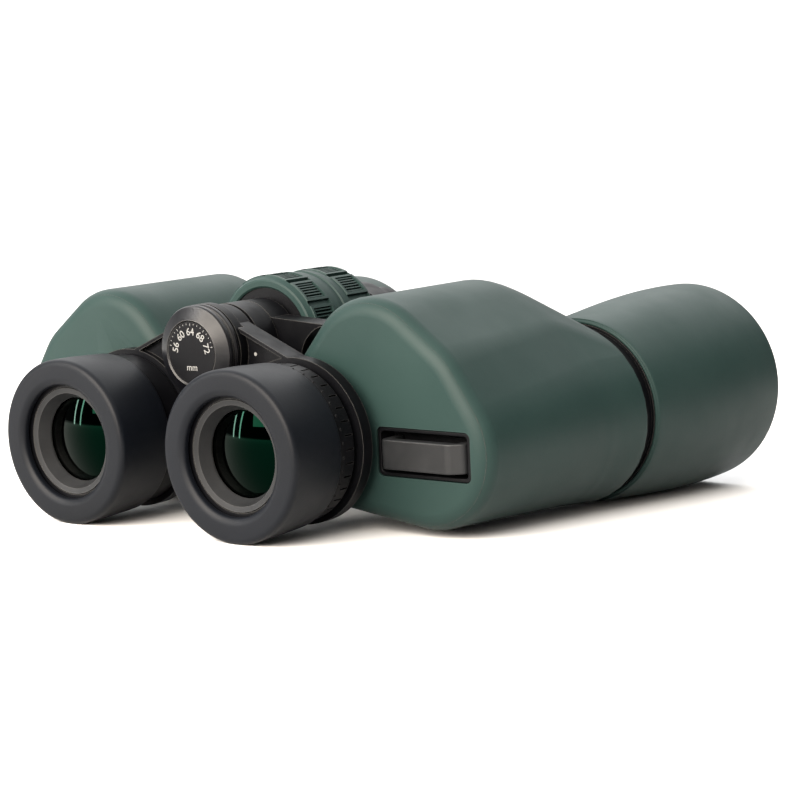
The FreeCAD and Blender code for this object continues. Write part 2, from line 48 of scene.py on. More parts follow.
MID = (48.0, 49.3)          # of the housing's upper inner corner
HINGE = (0.0, 56.1)         # of the hinge and the focus spindle
LUG = (66.2, 30.2)          # of the strap lug's middle
REAR_FACE = 36.0            # stations along the housing
HUMP_END = 91.0
NECK = 106.4
NECK_R = 25.6
NECK_SHRINK = 0.04          # how much of the hump's outline is left at the neck
SHOULDER_ROUND = 9.0        # length of the bend between the hump and the shoulder
REAR_RIM = 5.0              # rounding of the housing's rear edge
ARMOUR_T = 1.4
BARREL_R = 30.68
EYE_WELL_R = 15.6
LENS_R = 14.05
OBJECTIVE_R = 25.95
WHEEL = (52.2, 83.0)        # first and last station of the focus wheel's grip
WHEEL_R = 18.2
PLATE = 21.1                # rear face of the scale plate
ARM_FLOOR = 29.6            # floor of the pocket in a bridge arm


def point(x, station, z):
    return Vector((x / 1000, (station - LENGTH / 2) / 1000, z / 1000))


# ---- camera ---------------------------------------------------------------------------------
CAMERA_AT = (0.39402, -0.48267, 0.12382)
CAMERA_TURN = (37.85, 8.35, -2.57)      # azimuth, elevation and roll, in degrees


def photo_camera():
    azimuth, elevation, roll = [math.radians(turn) for turn in CAMERA_TURN]
    back = Vector((
        math.sin(azimuth) * math.cos(elevation),
        -math.cos(azimuth) * math.cos(elevation),
        math.sin(elevation),
    ))
    level = Vector((math.cos(azimuth), math.sin(azimuth), 0))
    upright = back.cross(level)
    right = level * math.cos(roll) + upright * math.sin(roll)
    up = upright * math.cos(roll) - level * math.sin(roll)
    lens = bpy.data.cameras.new("camera")
    lens.sensor_width = 36
    lens.lens = 94.9
    lens.clip_start = 0.01
    lens.shift_x, lens.shift_y = -0.0018, 0.0019
    camera = bpy.data.objects.new("camera", lens)
    turn = Matrix((right, up, back)).transposed()
    camera.matrix_world = Matrix.Translation(CAMERA_AT) @ turn.to_4x4()
    bpy.context.collection.objects.link(camera)
    bpy.context.scene.camera = camera


photo_camera()


# ---- materials ------------------------------------------------------------------------------
class Nodes:
    """A Principled material built up a node at a time. Its textures use object coordinates."""

    def __init__(self, name):
        self.material = bpy.data.materials.new(name)
        self.material.use_nodes = True
        self.tree = self.material.node_tree
        self.shader = self.tree.nodes["Principled BSDF"]
        self.where = self.add("ShaderNodeTexCoord").outputs["Object"]

    def add(self, kind, **settings):
        node = self.tree.nodes.new(kind)
        for key, value in settings.items():
            setattr(node, key, value)
        return node

    def link(self, source, target):
        self.tree.links.new(source, target)

    def noise(self, scale, detail=4.0, stretch=None):
        node = self.add("ShaderNodeTexNoise")
        node.inputs["Scale"].default_value = scale
        node.inputs["Detail"].default_value = detail
        if stretch:
            mapping = self.add("ShaderNodeMapping")
            mapping.inputs["Scale"].default_value = stretch
            self.link(self.where, mapping.inputs["Vector"])
            self.link(mapping.outputs["Vector"], node.inputs["Vector"])
        else:
            self.link(self.where, node.inputs["Vector"])
        return node.outputs["Fac"]

    def ramp(self, source, stops):
        node = self.add("ShaderNodeValToRGB")
        elements = node.color_ramp.elements
        while len(elements) < len(stops):
            elements.new(0.5)
        for element, (place, colour) in zip(elements, stops):
            element.position = place
            value = colour if isinstance(colour, tuple) else (colour,) * 3
            element.color = (*value, 1)
        self.link(source, node.inputs["Fac"])
        return node.outputs["Color"]

    def mix(self, factor, a, b):
        node = self.add("ShaderNodeMix", data_type="RGBA")
        self.link(factor, node.inputs["Factor"])
        for value, target in ((a, node.inputs[6]), (b, node.inputs[7])):
            if isinstance(value, tuple):
                target.default_value = (*value, 1)
            else:
                self.link(value, target)
        return node.outputs[2]

    def edges(self, radius, low, high):
        """White where the surface turns sharply within radius, in millimetres.

        It starts where the rounded normal strays by low from the true one, and is full at high.
        """
        round_off = self.add("ShaderNodeBevel", samples=4)
        round_off.inputs["Radius"].default_value = radius / 1000
        flat = self.add("ShaderNodeNewGeometry").outputs["Normal"]
        dot = self.add("ShaderNodeVectorMath", operation="DOT_PRODUCT")
        self.link(round_off.outputs["Normal"], dot.inputs[0])
        self.link(flat, dot.inputs[1])
        return self.ramp(dot.outputs["Value"], [(1 - high, 1.0), (1 - low, 0.0)])

    def bump(self, height, strength, distance):
        node = self.add("ShaderNodeBump")
        node.inputs["Strength"].default_value = strength
        node.inputs["Distance"].default_value = distance
        if self.shader.inputs["Normal"].is_linked:
            self.link(self.shader.inputs["Normal"].links[0].from_socket, node.inputs["Normal"])
        self.link(height, node.inputs["Height"])
        self.link(node.outputs["Normal"], self.shader.inputs["Normal"])

    def set(self, **values):
        for key, value in values.items():
            socket = self.shader.inputs[key.replace("_", " ")]
            if hasattr(value, "links"):
                self.link(value, socket)
            else:
                socket.default_value = (*value, 1) if isinstance(value, tuple) else value


def soft_rubber(name, dark, light, edge_wear_and_highlight, rough, shine):
    """Cloudy rubber with a fine grain, paler along its sharp edges and creases: a painted edge highlight,
    with some rubbed wear on the outer edges.
    """
    grain = 0.00006
    n = Nodes(name)
    cloudy = n.ramp(n.noise(28.0), [(0.3, dark), (0.7, light)])
    # painted highlight: the base colour turns paler along sharp edges and creases, with some rubbed wear on
    # the outer edges
    n.set(Base_Color=n.mix(n.edges(0.5, 0.02, 0.14), cloudy, edge_wear_and_highlight))
    n.set(Roughness=n.ramp(n.noise(60.0), [(0.25, rough - 0.05), (0.75, rough + 0.06)]))
    n.set(Specular_IOR_Level=shine)
    n.bump(n.noise(2600.0, 2.0), 0.25, grain)
    n.bump(n.noise(700.0, 3.0), 0.12, grain * 2)
    return n.material


def satin(name, dark, light, edge_wear_and_highlight, rough, shine, grain=0.00003):
    """Enamel, plastic or paint, paler along its sharp edges and creases: a painted edge highlight, with some
    rubbed wear on the outer edges.
    """
    n = Nodes(name)
    cloudy = n.ramp(n.noise(70.0), [(0.3, dark), (0.7, light)])
    # painted highlight: the base colour turns paler along sharp edges and creases, with some rubbed wear on
    # the outer edges
    n.set(Base_Color=n.mix(n.edges(0.3, 0.03, 0.2), cloudy, edge_wear_and_highlight), Specular_IOR_Level=shine)
    n.set(Roughness=n.ramp(n.noise(240.0), [(0.3, rough - 0.06), (0.7, rough + 0.07)]))
    n.bump(n.noise(3800.0, 2.0), 0.2, grain)
    return n.material


def machined(name, colour, rough):
    """Bare metal with turning marks, fine along Y."""
    n = Nodes(name)
    turned = n.noise(900.0, 3.0, (1, 14, 1))
    n.set(Base_Color=n.ramp(turned, [(0.3, tuple(0.85 * c for c in colour)), (0.7, colour)]), Metallic=1.0)
    n.set(Roughness=n.ramp(turned, [(0.3, rough - 0.05), (0.7, rough + 0.08)]))
    n.bump(turned, 0.15, 0.00003)
    return n.material


def coated_glass(name, tint, rough=0.02):
    """Dark glass whose coating gives its reflections a colour."""
    n = Nodes(name)
    smear = n.noise(35.0)
    n.set(Base_Color=n.ramp(smear, [(0.3, tuple(0.8 * c for c in tint)), (0.7, tint)]), Metallic=1.0)
    n.set(Roughness=n.ramp(smear, [(0.35, rough), (0.75, rough + 0.03)]), Specular_IOR_Level=0.0)
    return n.material


def clear_glass(name):
    """Bloomed glass: almost no reflection of its own."""
    n = Nodes(name)
    smear = n.noise(35.0)
    n.set(Base_Color=n.ramp(smear, [(0.3, (0.002, 0.004, 0.0035)), (0.7, (0.003, 0.006, 0.005))]))
    n.set(Roughness=n.ramp(smear, [(0.35, 0.03), (0.8, 0.06)]), Specular_IOR_Level=0.12, Alpha=0.35)
    return n.material


# Colours are the cloud's dark and light, then the paler sharp edges and creases, a painted edge highlight
# with some rubbed wear. Last come roughness and shine.
GREEN = soft_rubber(
    "green_rubber", (0.0082, 0.0182, 0.0166), (0.0105, 0.0218, 0.0198), (0.015, 0.027, 0.025), 0.47, 0.1,
)
CUP = soft_rubber(
    "cup_rubber", (0.0015, 0.002, 0.0031), (0.0022, 0.0029, 0.0045), (0.007, 0.0078, 0.0105), 0.46, 0.11,
)
BLACK = satin(
    "black_enamel", (0.0011, 0.0012, 0.0016), (0.0019, 0.002, 0.0026), (0.05, 0.049, 0.046), 0.42, 0.07,
)
GLOSS = satin(
    "hub_enamel", (0.0011, 0.0012, 0.0018), (0.0019, 0.002, 0.0028), (0.07, 0.069, 0.066), 0.34, 0.2,
)
MOULDED = satin(
    "black_moulding", (0.0012, 0.0013, 0.0017), (0.002, 0.0021, 0.0027), (0.012, 0.012, 0.012), 0.46, 0.08,
)
LUG_GREY = satin(
    "strap_bar", (0.0055, 0.006, 0.0066), (0.0095, 0.01, 0.0108), (0.06, 0.062, 0.065), 0.44, 0.2,
    grain=0.00012,
)
LIGHT_RING = satin(
    "lens_ring", (0.008, 0.0084, 0.009), (0.013, 0.0134, 0.014), (0.05, 0.05, 0.049), 0.42, 0.12,
)
STEEL = machined("steel", (0.55, 0.55, 0.56), 0.28)
BRASS = machined("brass", (0.62, 0.46, 0.2), 0.3)
EYE_GLASS = clear_glass("eye_glass")
COATING = coated_glass("green_coating", (0.0003, 0.0034, 0.0019))
OBJECTIVE_GLASS = coated_glass("objective_glass", (0.02, 0.045, 0.06))
PRISM_GLASS = coated_glass("prism_glass", (0.35, 0.4, 0.39), 0.05)
PAINT = satin("scale_paint", (0.12, 0.12, 0.115), (0.15, 0.15, 0.145), (0.16, 0.16, 0.155), 0.6, 0.2)

SLOT_MATERIAL = {
    "armour": GREEN, "cup_rubber": CUP, "black_metal": BLACK, "black_plastic": MOULDED,
    "steel": STEEL, "brass": BRASS, "glass": EYE_GLASS,
}


def material_of(name, slot):
    """What a CAD node wears where no visual piece stands in for it."""
    if name == "hub_cap":
        return GLOSS
    if name == "tripod_bush":
        return BLACK
    if name.endswith("eye_lens_ring"):
        return LIGHT_RING
    if name.endswith("_prism"):
        return PRISM_GLASS
    if "objective" in name and slot == "glass":
        return OBJECTIVE_GLASS
    return SLOT_MATERIAL[slot]


for part in frame["record"]["subparts"]:
    node = frame["nodes"][part["node"]]
    node.data.materials.clear()
    node.data.materials.append(material_of(node.name, part["material_slot"]))


# ---- mesh helpers ---------------------------------------------------------------------------
def shade(bm, sharp):
    """Smooth shading, but for edges that turn by more than sharp, in degrees."""
    limit = math.radians(sharp)
    for face in bm.faces:
        face.smooth = True
    for edge in bm.edges:
        edge.smooth = not (len(edge.link_faces) == 2 and edge.calc_face_angle(0) > limit)


def piece_from(bm, name, material, sharp=32.0):
    bmesh.ops.remove_doubles(bm, verts=bm.verts, dist=1e-6)
    bmesh.ops.recalc_face_normals(bm, faces=bm.faces)
    shade(bm, sharp)
    mesh = bpy.data.meshes.new(name)
    bm.to_mesh(mesh)
    bm.free()
    mesh.materials.append(material)
    obj = bpy.data.objects.new(name, mesh)
    bpy.context.collection.objects.link(obj)
    return obj


def place(obj, body, slot, *nodes):
    """obj moves with body and stands in for the CAD nodes named."""
    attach(obj, body)
    if nodes:
        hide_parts(*nodes)


def mirror_of(obj, name):
    """A copy mirrored across the plane x = 0."""
    mesh = obj.data.copy()
    mesh.transform(Matrix.Scale(-1, 4, (1, 0, 0)))
    mesh.flip_normals()
    twin = bpy.data.objects.new(name, mesh)
    bpy.context.collection.objects.link(twin)
    return twin


def place_pair(obj, name, right_body, left_body, slot, *nodes):
    """obj is the right piece; its mirror image is the left one."""
    twin = mirror_of(obj, "left_" + name)
    obj.name = "right_" + name
    place(obj, right_body, slot, *["right_" + n for n in nodes])
    place(twin, left_body, slot, *["left_" + n for n in nodes])


def rounded(corners, steps=6):
    """Points along a profile of (radius, station, fillet) corners, each rounded by its fillet."""
    result = []
    for i, (r, s, fillet) in enumerate(corners):
        if fillet <= 0:
            result.append((r, s))
            continue
        here = Vector((r, s))
        before = Vector(corners[i - 1][:2]) - here
        after = Vector(corners[(i + 1) % len(corners)][:2]) - here
        reach = min(fillet, before.length * 0.49, after.length * 0.49)
        start = here + before.normalized() * reach
        end = here + after.normalized() * reach
        for k in range(steps + 1):
            t = k / steps
            spot = start * (1 - t) ** 2 + here * (2 * t * (1 - t)) + end * t ** 2
            result.append((spot.x, spot.y))
    return result


def smooth_line(points, per_span=6):
    """Catmull-Rom through (radius, station) points."""
    result = []
    for i in range(len(points) - 1):
        a, b, c, d = [Vector(points[min(max(j, 0), len(points) - 1)]) for j in (i - 1, i, i + 1, i + 2)]
        square, cube = 2 * a - 5 * b + 4 * c - d, 3 * b - a - 3 * c + d
        for k in range(per_span):
            t = k / per_span
            spot = 0.5 * (2 * b + (c - a) * t + square * t ** 2 + cube * t ** 3)
            result.append((spot.x, spot.y))
    return result + [tuple(points[-1])]


def lathe(axis, profile, angles, relief=None):
    """A closed profile of (radius, station) turned about an axis along Y, at a count or list of angles.

    relief(angle, station, radius) says how far to sink a point below the profile.
    """
    if isinstance(angles, int):
        angles = [2 * math.pi * i / angles for i in range(angles)]
    bm = bmesh.new()
    rings = []
    for angle in angles:
        ring = []
        for r, s in profile:
            out = r - (relief(angle, s, r) if relief else 0)
            x, z = axis[0] + out * math.sin(angle), axis[1] + out * math.cos(angle)
            ring.append(bm.verts.new(point(x, s, z)))
        rings.append(ring)
    for i in range(len(rings)):
        one, two = rings[i], rings[(i + 1) % len(rings)]
        for j in range(len(profile)):
            k = (j + 1) % len(profile)
            bm.faces.new((one[j], one[k], two[k], two[j]))
    return bm


def evaluated_mesh(obj):
    bpy.context.view_layer.update()
    return bpy.data.meshes.new_from_object(obj.evaluated_get(bpy.context.evaluated_depsgraph_get()))


def settle(obj):
    """Applies the modifiers."""
    made = evaluated_mesh(obj)
    obj.modifiers.clear()
    obj.data = made


def cut(obj, *shapes):
    """Takes each bmesh shape out of obj."""
    for bm in shapes:
        cutter = piece_from(bm, "cutter", BLACK)
        modifier = obj.modifiers.new("cut", "BOOLEAN")
        modifier.operation = "DIFFERENCE"
        modifier.solver = "EXACT"
        modifier.object = cutter
        settle(obj)
        if not obj.data.vertices:
            raise RuntimeError("cutting left nothing of " + obj.name)
        bpy.data.objects.remove(cutter)


def soften(obj, width, segments):
    """Rounds the edges left by cutting, then evens the shading across flat faces."""
    modifier = obj.modifiers.new("soften", "BEVEL")
    modifier.width = width / 1000
    modifier.segments = segments
    modifier.limit_method = "ANGLE"
    modifier.angle_limit = math.radians(38.0)
    settle(obj)
    bm = bmesh.new()
    bm.from_mesh(obj.data)
    shade(bm, 50.0)
    bm.to_mesh(obj.data)
    bm.free()
    modifier = obj.modifiers.new("shade", "WEIGHTED_NORMAL")
    modifier.keep_sharp = True
    settle(obj)


def stacked(loops):
    """A tube of faces through loops of equal length, closed at both ends."""
    bm = bmesh.new()
    rows = [[bm.verts.new(p) for p in loop] for loop in loops]
    for one, two in zip(rows, rows[1:]):
        for i in range(len(one)):
            k = (i + 1) % len(one)
            bm.faces.new((one[i], one[k], two[k], two[i]))
    bm.faces.new(rows[0])
    bm.faces.new(rows[-1])
    return bm


def rounded_box(centre, width, height, start, end, corner, steps=6):
    """A block from station start to end, its corners rounded as seen along Y. centre is (x, z)."""
    outline = []
    for quarter, (sx, sz) in enumerate(((1, 1), (-1, 1), (-1, -1), (1, -1))):
        for k in range(steps + 1):
            a = math.pi / 2 * (quarter + k / steps)
            x = centre[0] + sx * (width / 2 - corner) + corner * math.cos(a)
            z = centre[1] + sz * (height / 2 - corner) + corner * math.sin(a)
            outline.append((x, z))
    return stacked([[point(x, s, z) for x, z in outline] for s in (start, end)])


# ---- prism housing armour -------------------------------------------------------------------
def housing_section(station):
    """Four circles (x, z, r), anticlockwise, whose hull is the housing's outline at a station.

    The hump swells slowly to HUMP_END, and then shrinks in a straight line to the neck.
    """
    along = min(1.0, (station - REAR_FACE) / (HUMP_END - REAR_FACE))
    bulge = ((OBJ[0] + MID[0]) / 2 + 0.7, (OBJ[1] + MID[1]) / 2 + 0.7)
    hump = [(*EYE, 18.5), (*OBJ, 21.1 + 3.5 * along), (*bulge, 22.4 + along), (*MID, 21.4)]
    start, straight = HUMP_END - SHOULDER_ROUND / 2, HUMP_END + SHOULDER_ROUND / 2
    if station <= start:
        return hump
    fallen = (station - start) ** 2 / (2 * SHOULDER_ROUND) if station < straight else station - HUMP_END
    share = fallen / (NECK - HUMP_END)
    middle = (sum(c[0] for c in hump) / 4, sum(c[1] for c in hump) / 4)
    outline = []
    for x, z, r in hump:
        neck_x = OBJ[0] + NECK_SHRINK * (x - middle[0])
        neck_z = OBJ[1] + NECK_SHRINK * (z - middle[1])
        neck_r = NECK_R + NECK_SHRINK * (r - 22.0)
        outline.append((x + share * (neck_x - x), z + share * (neck_z - z), r + share * (neck_r - r)))
    return outline


def hull_loop(circles, station, inset=0.0, arc=14, line=9):
    """Points round the hull of circles (x, z, r) listed anticlockwise, drawn in by inset."""
    count = len(circles)
    normals = []
    for i in range(count):
        x0, z0, r0 = circles[i]
        x1, z1, r1 = circles[(i + 1) % count]
        length = math.hypot(x1 - x0, z1 - z0)
        ux, uz = (x1 - x0) / length, (z1 - z0) / length
        along = (r0 - r1) / length
        across = math.sqrt(1 - along * along)
        normals.append(math.atan2(along * uz - across * ux, along * ux + across * uz))
    loop = []
    for i in range(count):
        x, z, r = circles[i]
        r -= inset
        first, last = normals[i - 1], normals[i]
        while last < first:
            last += 2 * math.pi
        for k in range(arc + 1):
            a = first + (last - first) * k / arc
            loop.append((x + r * math.cos(a), z + r * math.sin(a)))
        nx, nz, nr = circles[(i + 1) % count]
        nr -= inset
        a = normals[i]
        end = (nx + nr * math.cos(a), nz + nr * math.sin(a))
        begin = loop[-1]
        for k in range(1, line):
            t = k / line
            loop.append((begin[0] + t * (end[0] - begin[0]), begin[1] + t * (end[1] - begin[1])))
    return [point(px, station, pz) for px, pz in loop]


def housing_loop(station, inset=0.0):
    return hull_loop(housing_section(station), station, inset)


def armour_blank():
    """A thin shell: from the rear rim along the outside to the neck, and back along the inside."""
    loops = []
    for k in range(8, -1, -1):
        a = math.pi / 2 * k / 8
        loops.append(housing_loop(REAR_FACE + REAR_RIM * (1 - math.sin(a)), REAR_RIM * (1 - math.cos(a))))
    bend = HUMP_END - SHOULDER_ROUND / 2
    round_bend = [bend + SHOULDER_ROUND * k / 8 for k in range(9)]
    loops += [housing_loop(s) for s in [48, 56, 64, 72, 80] + round_bend + [98, 102, NECK - 0.5]]
    loops += [housing_loop(NECK, inset) for inset in (0.15, 0.5, ARMOUR_T)]
    back = [104, 98] + round_bend[::-2] + [64, REAR_FACE + REAR_RIM]
    loops += [housing_loop(s, ARMOUR_T) for s in back]
    inner_face = REAR_FACE + ARMOUR_T
    loops += [housing_loop(inner_face + 0.8, ARMOUR_T + 0.4), housing_loop(inner_face, ARMOUR_T + 1.6)]
    return stacked(loops)


def hull_block(circles, start, end):
    return stacked([hull_loop(circles, s, arc=20, line=2) for s in (start, end)])


def housing_armour(name, arms):
    """arms lists the hinge arms that the rubber is cut away for: outline, start and end."""
    obj = piece_from(armour_blank(), name, GREEN, 40)
    outside, inside = REAR_FACE - 3, REAR_FACE + ARMOUR_T + 0.1
    well = rounded_box(EYE, 2 * EYE_WELL_R, 2 * EYE_WELL_R, outside, inside, EYE_WELL_R, 24)
    pocket = rounded_box(LUG, 30.3, 13.3, outside, REAR_FACE + 12, 1.75)
    gap = 0.05
    cut(obj, well, pocket, *[hull_block(outline, start - gap, end + gap) for outline, start, end in arms])
    soften(obj, 0.45, 3)
    return obj


# Outlines of the hinge arms, each the hull of two circles (x, z, r)
SLOPING = [(*HINGE, 12.05), (30.0, EYE[1] + 10.0, 12.55)]
FLAT_TOP = [(8.0, 55.4, 8.35), (30.0, 51.5, 10.55)]
right = housing_armour("right_armour", ((FLAT_TOP, 43.9, 51.6), (SLOPING, 89.6, 97.0)))
place(right, "right_barrel", "armour", "right_housing_armour")
left_blank = housing_armour("left_blank", ((SLOPING, 38.2, 43.6), (SLOPING, 83.6, 89.3)))
left = mirror_of(left_blank, "left_armour")
bpy.data.objects.remove(left_blank)
place(left, "left_barrel", "armour", "left_housing_armour")


# ---- barrel sleeves -------------------------------------------------------------------------
def barrel_sleeve():
    """Swelling from the lock ring to the front rim, which is turned in over the hood."""
    outside = smooth_line([
        (26.5, 112.2), (26.95, 113.6), (28.3, 126.6), (29.7, 141.6), (30.5, 155.0), (BARREL_R, 165.0),
        (BARREL_R - 0.05, 171.0), (BARREL_R - 0.2, 175.4),
    ], 8)
    rim = rounded([
        (BARREL_R - 0.25, 175.9, 0), (29.8, LENGTH, 1.1), (27.6, LENGTH, 0.5), (27.5, 174.1, 0),
        (28.9, 174.0, 0), (28.9, 150.0, 0), (25.4, 112.9, 0), (25.4, 111.6, 0.3), (26.2, 111.6, 0.5),
    ])
    return lathe(OBJ, outside + rim, 200)


sleeve = piece_from(barrel_sleeve(), "sleeve", GREEN, 40)
place_pair(sleeve, "barrel_cover", "right_barrel", "left_barrel", "armour", "barrel_sleeve")


# ---- eyecups --------------------------------------------------------------------------------
def eyecup():
    return lathe(EYE, rounded([
        (15.8, 2.4, 0.2), (15.8, 0.9, 0.9), (17.2, 0.0, 1.2), (19.0, 0.0, 0), (22.95, 0.0, 3.6),
        (22.9, 8.0, 0), (22.35, 18.75, 0.1), (22.15, 19.25, 0.25), (19.35, 19.25, 0), (19.35, 2.4, 0),
    ], 8), 200)


cup = piece_from(eyecup(), "cup", CUP, 40)
place_pair(cup, "eye_rubber", "right_eyecup", "left_eyecup", "cup_rubber", "eyecup")


# ---- glass ----------------------------------------------------------------------------------
def bowed_disc(axis, radius, edge, apex, back):
    """A disc with one flat face at station back and one that bows from edge to apex."""
    hole, steps = 0.05, 16
    face = [(radius * k / steps, apex + (edge - apex) * (k / steps) ** 2) for k in range(1, steps + 1)]
    return lathe(axis, [(hole, apex)] + face + [(radius, back), (hole, back)], 96)


glass = piece_from(bowed_disc(EYE, LENS_R, 8.2, 5.4, 11.6), "glass", COATING, 40)
place_pair(glass, "eye_lens_face", "right_ocular", "left_arm", "glass", "eye_lens")
front = piece_from(bowed_disc(OBJ, OBJECTIVE_R, 161.9, 164.1, 158.7), "front_glass", OBJECTIVE_GLASS, 40)
place_pair(front, "objective_face", "right_barrel", "left_barrel", "glass", "objective_crown_lens")


# ---- dioptre ring ---------------------------------------------------------------------------
def dioptre_ring():
    """A ring with slots round its rim and a pip between each two."""
    slots, slot_half, slope = 36, 0.05, 0.02
    outer, slot_depth, slot_span = 21.4, 0.7, (22.3, 25.25)
    pip_r, pip_station, pip_size = 21.3, 21.15, 0.4
    pitch = 2 * math.pi / slots
    sides = [slot_half, slot_half + slope]
    offsets = [-0.5, -0.3] + [-o for o in reversed(sides)] + sides + [0.3]
    angles = [pitch * (i + o) for i in range(slots) for o in offsets]

    def relief(angle, station, radius):
        if radius < outer - 0.4 or not slot_span[0] < station < slot_span[1]:
            return 0
        away = abs((angle / pitch + 0.5) % 1 - 0.5)
        return slot_depth if away < slot_half + slope / 2 else 0

    outside = [
        (18.8, 20.4), (18.8, 19.7), (20.9, 19.7), (21.3, 19.95), (outer, 20.3), (outer, 22.25),
        (outer, 22.35), (outer, 25.2), (outer, 25.3), (21.25, 25.7), (20.9, 25.9), (17.6, 25.9), (17.6, 20.4),
    ]
    bm = lathe(EYE, outside, angles, relief)
    for i in range(slots):
        a = pitch * (i + 0.5)
        middle = point(EYE[0] + pip_r * math.sin(a), pip_station, EYE[1] + pip_r * math.cos(a))
        matrix = Matrix.Translation(middle)
        bmesh.ops.create_icosphere(bm, subdivisions=2, radius=pip_size / 1000, matrix=matrix)
    return bm


ring = piece_from(dioptre_ring(), "dioptre_grip", MOULDED, 30)
place(ring, "dioptre_ring", "black_plastic", "dioptre_ring")


# ---- focus wheel grip -----------------------------------------------------------------------
def wheel_grip():
    """Two rows of raised pads round the tyre, each with a sunk window crossed by ribs.

    Widths round the wheel are half widths, as shares of the pitch from pad to pad.
    """
    start, end = WHEEL
    middle = (start + end) / 2
    pads, ribs = 12, 6
    pitch, phase = 2 * math.pi / pads, math.radians(10)
    pad, window, rib, slope = 0.41, 0.325, 0.02, 0.012
    between_pads, in_window, on_rib, round_band = 0.95, 1.2, 0.3, 0.3
    rows = [(start + 2.6, start + 10.4), (end - 10.4, end - 2.6)]

    offsets = [-0.5, -pad - slope, -pad, -window, -window + slope]
    for k in range(ribs):
        centre = -window + 2 * window * (k + 0.5) / ribs
        offsets += [centre - rib - slope, centre - rib, centre + rib, centre + rib + slope]
    offsets += [window - slope, window, pad, pad + slope]
    angles = [phase + pitch * (i + o) for i in range(pads) for o in offsets]

    def relief(angle, station, radius):
        if radius < WHEEL_R - 0.01:
            return 0
        away = ((angle - phase) / pitch + 0.5) % 1 - 0.5
        for low, high in rows:
            if not low - 0.85 < station < high + 0.85:
                continue
            if abs(away) > pad + slope / 2:
                return between_pads
            if low < station < high and abs(away) < window - slope / 2:
                within = (away + window) / (2 * window) * ribs
                from_rib = abs(within % 1 - 0.5) * 2 * window / ribs
                ribbed = from_rib < rib + slope / 2 and low + 0.5 < station < high - 0.5
                return on_rib if ribbed else in_window
            return 0
        return round_band

    side = [(14.75, 0.4), (15.2, 0), (16.6, 0), (17.1, 0.3), (17.35, 0.9)]
    outside = [(r, start + s) for r, s in side]
    for low, high in rows:
        edges = (low - 0.9, low - 0.8, low - 0.05, low + 0.05, low + 0.45, low + 0.55)
        outside += [(WHEEL_R, s) for s in edges]
        outside += [(WHEEL_R, low + high - s) for s in reversed(edges)]
        if low == rows[0][0]:
            groove = [(WHEEL_R, -1.2), (17.5, -0.9), (17.5, 0.9), (WHEEL_R, 1.2)]
            outside += [(r, middle + s) for r, s in groove]
    outside += [(r, end - s) for r, s in reversed(side)]
    return lathe(HINGE, outside, angles, relief)


place(piece_from(wheel_grip(), "wheel_grip", GREEN, 28), "focus_wheel", "armour", "focus_wheel_grip")


# ---- strap lugs -----------------------------------------------------------------------------
def strap_bar():
    """The proud bar with its sloping ends."""
    bottom, top = LUG[1] - 4.3, LUG[1] + 3.7
    outline = rounded([
        (LUG[0] - 12.5, 42.0, 0), (LUG[0] - 12.5, 35.0, 1.0), (LUG[0] - 11.6, 33.6, 1.2),
        (LUG[0] + 9.6, 33.6, 1.2), (LUG[0] + 13.5, 36.2, 1.2), (LUG[0] + 13.5, 42.0, 0),
    ], 5)
    return stacked([[point(x, s, z) for x, s in outline] for z in (bottom, top)])


def pocket_box(width, height, start, end, corner):
    return rounded_box(LUG, width, height, start, end, corner)


bar = piece_from(strap_bar(), "bar", LUG_GREY, 40)
cut(bar, rounded_box((LUG[0], LUG[1] - 0.3), 21.0, 9.2, REAR_FACE + 0.6, 42.05, 0.3, 1))
soften(bar, 0.5, 3)
liner = piece_from(pocket_box(30.0, 13.0, REAR_FACE + 0.3, 43.4, 1.6), "liner", MOULDED, 40)
cut(liner, pocket_box(28.0, 11.0, REAR_FACE - 2, 42.4, 1.0))
soften(liner, 0.25, 2)
place_pair(liner, "strap_pocket", "right_barrel", "left_barrel", "black_plastic", "strap_lug")
place_pair(bar, "strap_bar", "right_barrel", "left_barrel", "black_plastic")


# ---- scale on the hub -----------------------------------------------------------------------
SCALE_START, SCALE_STEP = math.radians(-76), math.radians(38)
DIGITS_R = 5.75


def on_plate(radius, angle, above=0.05):
    return point(HINGE[0] + radius * math.sin(angle), PLATE - above, HINGE[1] + radius * math.cos(angle))


def mark(text, size, radius, angle, turn):
    """Painted lettering on the scale plate, size millimetres high."""
    curve = bpy.data.curves.new("mark", "FONT")
    curve.body = text
    curve.size = size / 1000
    curve.extrude = 0.00003
    curve.offset = 0.00001
    curve.align_x = "CENTER"
    curve.align_y = "CENTER"
    made = bpy.data.objects.new("mark", curve)
    bpy.context.collection.objects.link(made)
    upright = Matrix.Rotation(math.pi / 2, 4, "X")
    spot = Matrix.Translation(on_plate(radius, angle, 0.04))
    made.matrix_world = spot @ Matrix.Rotation(turn, 4, "Y") @ upright
    mesh = evaluated_mesh(made)
    mesh.transform(made.matrix_world)
    bpy.data.objects.remove(made)
    return mesh


def scale_marks():
    """Eye spacings in millimetres, with a tick for each one between."""
    bm = bmesh.new()
    for i, text in enumerate(("56", "60", "64", "68", "72")):
        a = SCALE_START + SCALE_STEP * i
        bm.from_mesh(mark(text, 2.9, DIGITS_R, a, a))
    for i in range(17):
        a = SCALE_START + SCALE_STEP * i / 4
        inner, outer = 7.45 if i % 4 == 0 else 7.75, 8.15
        sides = [(a - 0.012, inner), (a + 0.012, inner), (a + 0.01, outer), (a - 0.01, outer)]
        bm.faces.new([bm.verts.new(on_plate(r, b)) for b, r in sides])
    bm.from_mesh(mark("mm", 2.6, 4.0, math.pi, 0))
    return bm


place(piece_from(scale_marks(), "spacing_scale", PAINT, 30), "bridge", "black_plastic")


